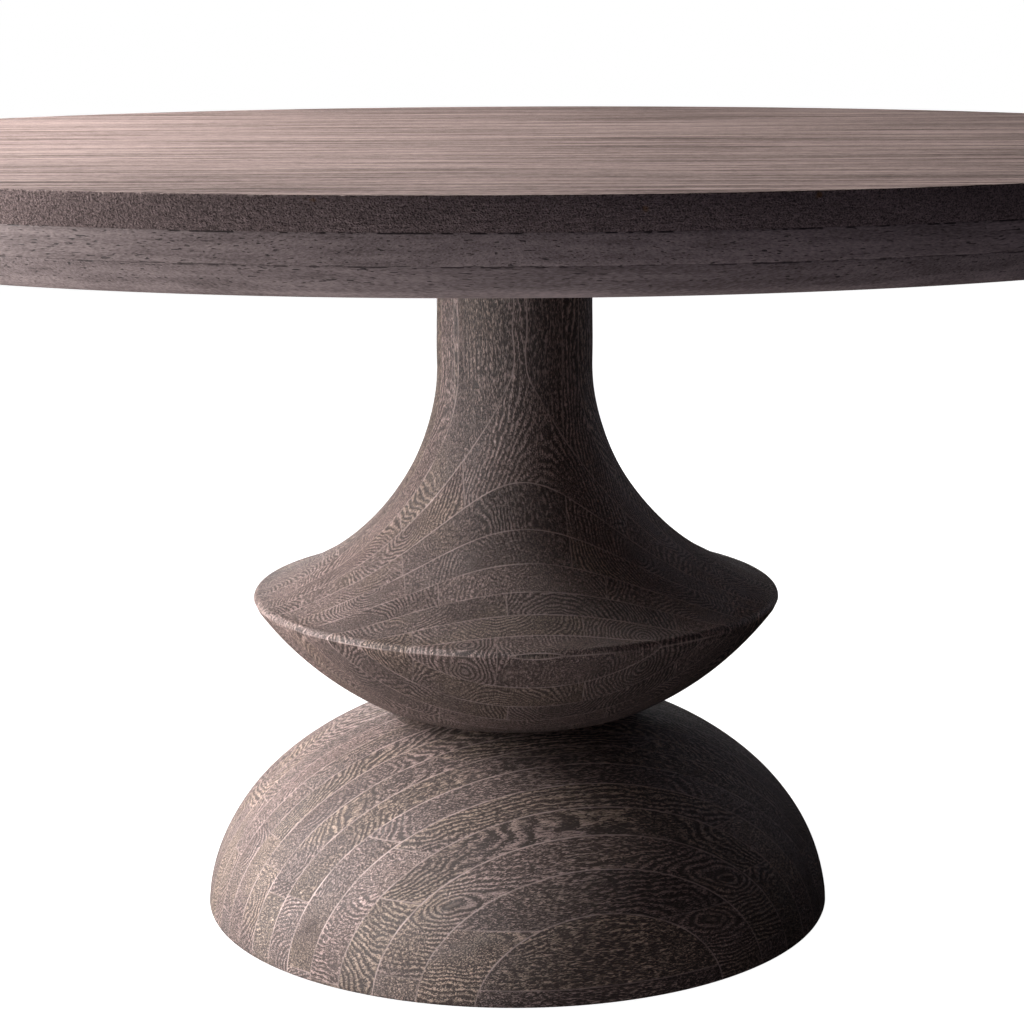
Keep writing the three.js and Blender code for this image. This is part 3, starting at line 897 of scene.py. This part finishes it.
def seed_shift(g, seed):
    """Where in the noise a board takes its figure from: somewhere else for each board."""
    return g.join(seed[0] * 900, seed[1] * 700, seed[2] * 500)


def figured_wood(g, across, depth, along, seed, look):
    """Growth rings and pale flecks of one board. Across and depth lie in the board's cross-section,
    along runs with the grain, all in millimetres. Seed is three random numbers for the board. Gives
    the field that colour and relief follow, and a slow drift over the board."""
    shift = seed_shift(g, seed)

    def board_noise(stretch, size, detail):
        """Noise of this size. The smaller the stretch, the further it is drawn out along the grain."""
        return g.noise(add(g, g.join(across, depth, along * stretch), shift), size, detail)

    drift = board_noise(stretch=0.3, size=70, detail=1.0)
    sway = board_noise(stretch=0.45, size=19, detail=2.0)
    out_across = across - (seed[0] - 0.5) * look["pith_spread"]
    out_depth = depth - (seed[1] - 0.5) * look["pith_depth"]
    radius = g.math("SQRT", square(out_across) + square(out_depth) + 1.0)
    grit = board_noise(look["grit_stretch"], look["grit"], 1.0)
    rings = radius + drift * look["drift"] + sway * look["sway"] + grit * look["waver"]
    reach = g.math("ARCTAN2", out_across, out_depth) * look["fleck_reach"]
    flow = g.noise(add(g, g.join(rings, reach, along * look["stretch"]), shift), look["fleck"], 1.0)
    line = g.math("ABSOLUTE", g.math("FRACT", rings / look["ring_gap"]) - 0.5) * 2
    patch = board_noise(stretch=0.5, size=42, detail=1.0)
    clear = g.step(patch + (seed[2] - 0.5) * 0.3, 0.40, 0.60)
    line_weight = clear * look["line_weight"] + look["line_least"]
    bead = flow * 1.6 + 0.2
    field = (flow - 0.5) * 1.25 + (grit - 0.5) * 1.2 + (line - 0.5) * bead * line_weight
    return {"field": field, "drift": drift}


def facing(g, x, y, z):
    """How squarely the surface faces a direction: 1 head on, 0 edge on."""
    made = g.node("TexCoord")
    product = g.node("VectorMath", operation="DOT_PRODUCT")
    g.plug(product.inputs[0], Value(g, made.outputs["Normal"]))
    g.plug(product.inputs[1], g.join(x, y, z))
    return Value(g, product.outputs["Value"])


def seam(g, distance, normal_x, normal_y, normal_z, seed):
    """1 on a joint and 0 away from it, the same width whatever the angle at which the surface cuts
    the joint. The normal is that of the joint's plane. Parts of the joint fade out."""
    least_slant = 0.002
    squarely = square(facing(g, normal_x, normal_y, normal_z))
    width = g.math("SQRT", g.math("MAXIMUM", 1.0 - squarely, least_slant)) * SEAM_WIDTH
    fade = g.step(g.noise(add(g, g.join(*g.place()), g.join(0, 0, seed * 70)), 30, 1.0), 0.32, 0.62)
    return g.step(distance, width, width * 0.35) * (fade * 0.75 + 0.25)


def finish_pedestal(g, figure, seed, seams_and_highlight, warmth, tone, look):
    """Colour, gloss and relief shared by both turned blocks."""
    pale = g.step(figure["field"], look["darkest"], look["palest"])
    colour = g.mix(pale, DARK_WOOD, g.mix(warmth, PALE_GRAIN, WARM_GRAIN))
    board_tone = seed[0] * 0.34 + 0.83 + (figure["drift"] - 0.5) * 0.5
    # Pale lines: the joints' own colour and, on the column, a painted highlight along the rim's ridge.
    colour = g.mix(seams_and_highlight * 0.9, g.brighten(colour, board_tone), SEAM_AND_HIGHLIGHT)
    # Tone holds the painted shade under the top and towards the bowl, and the darker end grain.
    colour = g.brighten(colour, tone)
    height = g.math("MAXIMUM", figure["field"] * 1.3 + 0.5, seams_and_highlight * 0.85)
    return g.finish(colour, 0.60 - pale * 0.22, height, depth=0.6 * MM, strength=1.0,
                    Specular_IOR_Level=0.5)


def painted_ridge_highlight(g, x, y, z):
    """A painted highlight: a pale line along the nose of the rim, broken in places."""
    nose = RIM_NOSE[0] * PER_MM
    # Painted highlight: a thin pale band round the nose, broken up by noise.
    line = g.step(g.math("ABSOLUTE", z - RIM_NOSE[1] * PER_MM), 1.1, 0.4)
    outside = g.step(square(x) + square(y), (nose - 9) ** 2, (nose - 4) ** 2)
    wear_and_highlight = g.step(g.noise(g.join(x, y, z), 70, 2.0), 0.42, 0.62)
    return line * outside * (wear_and_highlight * 0.6 + 0.12)


def glued_block(g, block):
    """The figure, the random numbers and the joints of the boards of a turned block. The boards
    stand in layers, and the grain runs up them or level along them."""
    x, y, z = g.place()
    turn = block["turn"]
    level, depth = g.turned(x, y, turn)
    if block["upright"]:
        across, along, normal = level, z, (math.cos(turn), math.sin(turn), 0)
    else:
        across, along, normal = z, level, (0, 0, 1)
    layer, local_depth, layer_joint = board_row(g, depth, block["thickness"], block["shift"])
    strip_shift = g.random(layer, block["strip_draw"])[0]
    strip, local_across, strip_joint = board_row(g, across, block["width"], strip_shift)
    seed = g.random(layer, strip, block["board_draw"])
    figure = figured_wood(g, local_across, local_depth, along, seed, block)
    layer_seam = seam(g, layer_joint, -math.sin(turn), math.cos(turn), 0, layer)
    strip_seam = seam(g, strip_joint, *normal, strip) * 0.6
    return figure, seed, g.math("MAXIMUM", layer_seam, strip_seam)


def column_wood():
    """Upright boards that face the front, with painted shade towards the neck, under the top."""
    g = Graph("column wood")
    x, y, z = g.place()
    figure, seed, joints = glued_block(g, COLUMN_BLOCK)
    # The joints, and the painted highlight along the rim's ridge.
    seams_and_highlight = g.math("MAXIMUM", joints, painted_ridge_highlight(g, x, y, z))
    warmth = g.step(figure["drift"] + seed[1] * 0.3, 0.66, 0.86) * 0.6
    # Painted shade: the upper flare and the column, under the top, are made up to 14 per cent darker.
    neck_shade = g.step(z, 400, 540)
    return finish_pedestal(g, figure, seed, seams_and_highlight, warmth, 0.94 - neck_shade * 0.14, COLUMN_BLOCK)


def dome_wood():
    """Boards on edge that face a little to the right, darker on their ends, with painted shade towards the
    bowl.
    """
    g = Graph("dome wood")
    z = g.place()[2]
    figure, seed, seams_and_highlight = glued_block(g, DOME_BLOCK)
    warmth = g.step(figure["drift"] + seed[1] * 0.2, 0.54, 0.76) * 0.8
    turn = DOME_BLOCK["turn"]
    end = square(facing(g, math.cos(turn), math.sin(turn), 0))
    # Painted shade: the top of the dome darkens towards the bowl, standing in for the bowl's shadow. The
    # end grain is darker in its own colour.
    tone = 0.98 - end * 0.38 - g.step(z, 90, 260) * 0.26
    return finish_pedestal(g, figure, seed, seams_and_highlight, warmth, tone, DOME_BLOCK)


def top_edge(g, x, y, z, fine, upright):
    """Colour and relief of the boards' rim: stippled and chipped, roughest on the end grain, with a
    few rusty spots, and pale in broken patches along the arris: chipped wood with a painted highlight."""
    chip = g.noise(g.join(x, y, z), 1.5, 2.0, 0.6)
    stipple = g.noise(g.join(x * 0.6, y, z), 0.8, 1.0)
    tone = g.step((stipple - 0.5) * 0.9 + (chip - 0.5) * 0.5 + (fine - 0.5) * 0.5, -0.4, 0.4)
    colour = g.mix(tone, EDGE_DARK, EDGE_PALE)
    spot = g.step(g.noise(g.join(x, y, z), 16, 1.0), 0.74, 0.8)
    colour = g.mix(spot * 0.7, colour, RUSTY_SPOT)
    top = TABLE_HEIGHT * PER_MM
    # Painted highlight with chipped wood: a pale broken line along the top arris.
    arris = g.step(z, top - 2.4, top - 0.8)
    chips_and_highlight = g.step(g.noise(g.join(x, y, z), 3.5, 3.0, 0.7), 0.50, 0.62)
    colour = g.mix(arris * chips_and_highlight * 0.75, colour, CHIPPED_ARRIS_AND_HIGHLIGHT)
    end = square(facing(g, 1, 0, 0)) * upright
    return colour, chip * (end * 0.6 + 0.6) + stipple * 0.5 + fine * 0.3


def top_wood():
    """Boards along X, stained grey-brown: faint wavy streaks and fine pores, no visible joints."""
    g = Graph("top wood")
    x, y, z = g.place()
    wave = g.noise(g.join(x * 0.35, y * 0.5, z), 120, 1.0) * 16
    streak = g.noise(g.join(x * 0.05, y + wave, z), 15, 3.0, 0.62)
    fine = g.noise(g.join(x * 0.12, y + wave, z), 1.6, 2.0)
    pore = g.noise(g.join(x * 0.3, y, z), 0.9, 1.0)
    tone = g.step((streak - 0.5) * 2.0 + (fine - 0.5) * 1.2 + (pore - 0.5) * 0.8, -0.48, 0.48)
    level = g.step(g.math("ABSOLUTE", facing(g, 0, 0, 1)), 0.55, 0.9)
    upright = 1 - level
    edge_colour, edge_relief = top_edge(g, x, y, z, fine, upright)
    colour = g.mix(level, edge_colour, g.mix(tone, TOP_DARK, TOP_PALE))
    cloud = g.noise(g.join(x * 0.4, y, z), 90, 2.0)
    colour = g.brighten(colour, cloud * 0.3 + 0.85)
    top_relief = fine * 0.5 + pore * 0.25 + streak * 0.25
    height = top_relief * level * 0.25 + edge_relief * upright
    return g.finish(colour, 0.86 + fine * 0.12, height, depth=1.4 * MM, strength=1.0,
                    Specular_IOR_Level=0.06)


def segment_place(g, x, y, z):
    """A point's place along and across the chord of the ring segment it is in, and three random
    numbers for that segment. The lower layer's segments lie half a segment further round."""
    joint = LAYER_JOINT * PER_MM
    upper = g.step(z, joint - 0.01, joint + 0.01)
    stagger = (1 - upper) * 0.5
    index = g.math("FLOOR", g.math("ARCTAN2", y, x) / (TURN / SEGMENTS) + 0.5 - stagger)
    middle = (index + stagger) * (TURN / SEGMENTS)
    c, s = g.math("COSINE", middle), g.math("SINE", middle)
    return y * c - x * s, x * c + y * s, g.random(index, upper * 5 + 31.0)


def ring_wood():
    """Straight-grained segments, the grain along the chord of each one. Short dark pits follow it,
    fainter low down, and the joints over and under the upper layer show as broken dark lines. The
    lower band is painted lighter, as light thrown up from the floor."""
    g = Graph("ring wood")
    x, y, z = g.place()
    along, outward, seed = segment_place(g, x, y, z)
    shift = seed_shift(g, seed)
    streak = g.noise(add(g, g.join(along * 0.04, outward * 0.3, z), shift), 6, 3.0, 0.6)
    fine = g.noise(add(g, g.join(along * 0.2, outward, z), shift), 0.8, 2.0)
    chip = g.noise(add(g, g.join(along * 0.3, outward, z), shift), 1.4, 1.0)
    dash = g.noise(add(g, g.join(along * 0.14, outward * 0.4, z), shift), 1.0, 1.0)
    boards = BOARD_BOTTOM * PER_MM
    lower_band = g.step(z, boards - 34, boards - 44)
    pit = g.step(dash, 0.36, 0.27) * (0.9 - lower_band * 0.75)
    broken = g.step(g.noise(g.join(along * 0.14, outward * 0.1, 0.0), 2.0, 2.0), 0.5, 0.56)
    near_boards = g.step(g.math("ABSOLUTE", z - boards), 1.3, 0.3)
    near_layers = g.step(g.math("ABSOLUTE", z - LAYER_JOINT * PER_MM), 1.2, 0.3)
    joint = g.math("MAXIMUM", near_boards, near_layers * 0.7) * broken
    dark = g.math("MAXIMUM", pit, joint)
    tone = g.step((streak - 0.5) * 0.8 + (fine - 0.5) * 0.8 + (chip - 0.5) * 0.4, -0.4, 0.4)
    colour = g.mix(tone, RING_DARK, RING_PALE)
    # Painted light: the lower band is made 12 per cent lighter, as light thrown up from the floor.
    colour = g.brighten(colour, seed[0] * 0.12 + 0.88 + lower_band * 0.12)
    colour = g.mix(dark * 0.9, colour, PIT_WOOD)
    height = fine * 0.45 + chip * 0.35 + streak * 0.2 - dark * 0.8
    return g.finish(colour, 0.60 + fine * 0.12, height, depth=0.7 * MM, strength=0.8,
                    Specular_IOR_Level=0.4)


def planed_wood():
    """Plain unfinished hardwood for the battens and dowels."""
    g = Graph("planed wood")
    x, y, z = g.place()
    streak = g.noise(g.join(x, y * 0.06, z), 6, 3.0, 0.6)
    pores = g.step(g.noise(g.join(x, y * 0.08, z), 1.1, 1.0), 0.6, 0.75)
    colour = g.mix(streak, PLANED_DARK, PLANED_PALE)
    colour = g.mix(pores * 0.6, colour, PLANED_PORE)
    return g.finish(colour, 0.68 + streak * 0.14, streak - pores * 0.5, depth=0.3 * MM, strength=0.6)


# ---------------- metal and nylon


def black_steel():
    """Powder coat: a fine orange-peel, with a little dust in the low spots."""
    g = Graph("powder coated steel")
    place = g.join(*g.place())
    peel = g.noise(place, 0.9, 2.0)
    dust = g.step(g.noise(place, 40, 3.0), 0.45, 0.75)
    clean, dusty = (0.012, 0.012, 0.013), (0.030, 0.029, 0.028)
    colour = g.mix(dust * 0.5, clean, dusty)
    return g.finish(colour, 0.42 + dust * 0.2, peel, depth=0.12 * MM, strength=0.6)


def zinc_steel():
    """Bright zinc plate with a faint blue and straw cast and rubbed patches."""
    g = Graph("zinc plated steel")
    place = g.join(*g.place())
    cast = g.noise(place, 9, 3.0)
    rub = g.noise(place, 1.2, 3.0, 0.7)
    blue, straw = (0.58, 0.60, 0.64), (0.66, 0.63, 0.55)
    colour = g.mix(cast, blue, straw)
    return g.finish(colour, 0.28 + rub * 0.22, rub, depth=0.05 * MM, strength=0.5, Metallic=1.0)


def nylon():
    """Moulded black nylon, with paler scuffs."""
    g = Graph("black nylon")
    place = g.join(*g.place())
    grain = g.noise(place, 0.5, 2.0)
    scuff = g.step(g.noise(place, 6, 3.0), 0.55, 0.8)
    moulded, scuffed = (0.012, 0.012, 0.012), (0.045, 0.044, 0.042)
    colour = g.mix(scuff, moulded, scuffed)
    return g.finish(colour, 0.5 + scuff * 0.25, grain, depth=0.1 * MM, strength=0.5)


# ---------------- stage


CAMERA_PLACE = (-0.0035, -2.392, 0.881)
CAMERA_PITCH = math.radians(11.51)  # downwards
CAMERA_ROLL = math.radians(-0.3)
CAMERA_LENS = 86.6

FLOOR_GLOW = 1.0
# Each light's place, what it points at, its size in metres, its power, and its colour if not white.
LIGHTS = {
    "key": ((-1.9, 0.12, 1.6), (0, 0, 0.6), (1.0, 1.0), 140),
    "key_side": ((-2.4, 0.35, 1.2), (0, 0, 0.5), (1.4, 1.8), 90),
    "key_low": ((-2.4, -0.5, 0.7), (0, 0, 0.4), (1.2, 1.0), 26),
    "bounce_left": ((-1.7, -0.5, 0.02), (-0.3, -0.3, 0.7), (1.4, 1.2), 22),
    "bounce_near": ((-0.35, -0.8, 0.01), (-0.3, -0.45, 0.5), (0.8, 0.5), 1.8),
    "bounce_right": ((0.8, -0.6, 0.01), (0.2, -0.2, 0.45), (0.8, 0.5), 0.16),
    "bounce_front": ((0.1, -1.7, 0.02), (0.1, -0.9, 0.7), (2.4, 1.2), 2.3, (0.82, 0.79, 1.0)),
    "back": ((-0.2, 2.8, 0.42), (0, 0, 0.4), (1.0, 0.5), 13),
    "rim": ((1.6, 1.8, 0.9), (0, 0, 0.3), (1.5, 1.5), 2.8, (0.92, 0.88, 1.0)),
}


def aim(item, target, roll=0.0):
    """Turns a camera or light so that its -Z axis points at a place."""
    direction = Vector(target) - item.location
    turn = direction.to_track_quat("-Z", "Y")
    item.rotation_euler = (turn.to_matrix().to_4x4() @ Matrix.Rotation(roll, 4, "Z")).to_euler()


def add_camera():
    """The photo's viewpoint: a little above the top, looking down at the pedestal."""
    camera = add_object("camera", bpy.data.cameras.new("camera"))
    camera.data.lens = CAMERA_LENS
    camera.data.sensor_width = 36
    camera.data.clip_end = 1000
    camera.location = CAMERA_PLACE
    x, y, z = CAMERA_PLACE
    reach = 10
    target = (x, y + reach * math.cos(CAMERA_PITCH), z - reach * math.sin(CAMERA_PITCH))
    aim(camera, target, CAMERA_ROLL)
    bpy.context.scene.camera = camera


def add_light(name, place, target, size, power, colour=(1, 1, 1)):
    """A soft box that lights the table, and that the camera doesn't see."""
    data = bpy.data.lights.new(name, "AREA")
    data.shape = "RECTANGLE"
    data.size, data.size_y = size
    data.energy = power
    data.color = colour
    light = add_object(name, data)
    light.location = place
    light.visible_camera = False
    aim(light, target)


def add_floor():
    """A pale floor that reaches the horizon. It glows, so that it stays white under soft light. It
    doesn't light the table: the bounce lights do that."""
    radius, steps = 900.0, 96
    vertices = [(radius * math.cos(TURN * i / steps), radius * math.sin(TURN * i / steps), 0)
                for i in range(steps)]
    mesh = bpy.data.meshes.new("floor")
    mesh.from_pydata(vertices, [], [tuple(range(steps))])
    floor = add_object("floor", mesh)
    floor.visible_diffuse = False
    floor.visible_glossy = False
    g = Graph("pale floor")
    shade_of_grey = g.noise(g.join(*g.place()), 900, 2.0)
    colour = g.mix(shade_of_grey, (0.30, 0.30, 0.30), (0.36, 0.36, 0.36))
    floor.data.materials.append(g.finish(colour, 0.9, Specular_IOR_Level=0.1,
                                         Emission_Color=(1, 1, 1, 1), Emission_Strength=FLOOR_GLOW))


def add_world():
    """A white surround that is seen but gives no light."""
    world = bpy.data.worlds.new("studio")
    bpy.context.scene.world = world
    world.use_nodes = True
    world.node_tree.nodes["Background"].inputs["Color"].default_value = (1, 1, 1, 1)
    world.cycles_visibility.diffuse = False
    world.cycles_visibility.glossy = False


def paint(pieces, material):
    """Gives pieces one material."""
    for piece in pieces:
        piece.data.materials.clear()
        piece.data.materials.append(material)


# ---------------- the scene


add_camera()
add_floor()
add_world()
for name, light in LIGHTS.items():
    add_light(name, *light)
bpy.context.scene.view_settings.view_transform = "Standard"

boards, segments = build_top()
paint(boards, top_wood())
paint(segments, ring_wood())
paint([build_column()], column_wood())
paint([build_dome()], dome_wood())

battens = [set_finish(eased_copy(name, 2 * MM), "batten_wood") for name in ("batten_left", "batten_right")]
dowels = [build_dowel(name) for name in DOWELS]
paint(battens + dowels, planed_wood())

screws = [build_lag_screw(name) for name in LAG_SCREWS]
screws += [build_batten_screw(name) for name in BATTEN_SCREWS]
levellers = []
for number, place in enumerate(LEVELLER_PLACES, 1):
    levellers += build_leveller(number, place)
paint(levellers + screws + [build_rod()] + build_nut_and_washer(), zinc_steel())
paint([piece for piece in levellers if piece["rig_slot"] == "nylon"], nylon())
paint([build_plate()], black_steel())
